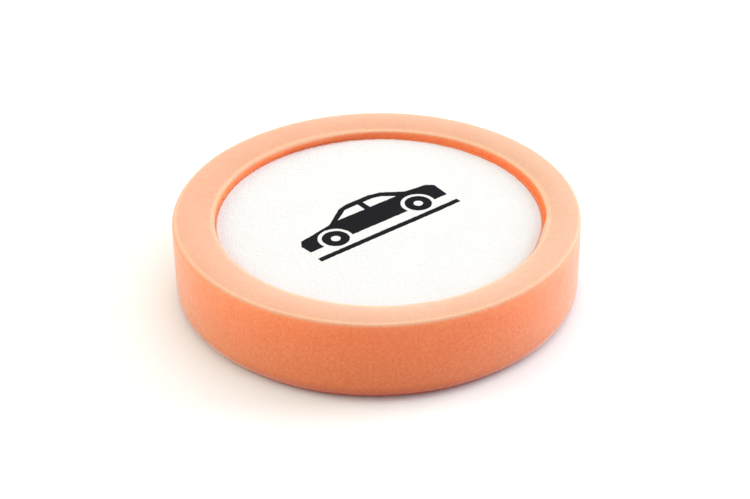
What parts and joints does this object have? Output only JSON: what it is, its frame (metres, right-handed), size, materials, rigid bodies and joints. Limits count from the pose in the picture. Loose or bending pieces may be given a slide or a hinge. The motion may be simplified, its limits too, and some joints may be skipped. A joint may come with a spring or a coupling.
{
  "type": "polishing pad",
  "caption": "Round foam polishing pad with a shallow recess in a crowned collar and a white loop-fabric backing disc bonded inside.",
  "frame": {"origin": "middle of the working face, where the pad's axis meets the surface that it stands on", "axes": "+Z along the pad's axis, from the working face towards the machine; the pad is round, so +X and +Y are set only by the printed pictogram, whose road line is turned 38 degrees from +X towards +Y"},
  "size_m": [0.15, 0.15, 0.032],
  "materials": {
    "foam": "matte open-cell polyurethane foam, medium grade, peach orange",
    "adhesive": "cured hot-melt film",
    "loop_ground": "warp-knitted ground cloth",
    "loop_pile": "brushed white loop pile",
    "ink": "matte black ink soaked into the pile"
  },
  "bodies": {
    "root": {"foam_body": "foam", "adhesive_film": "adhesive", "loop_ground": "loop_ground", "loop_pile": "loop_pile", "printed_mark": "ink"}
  },
  "joints": []
}
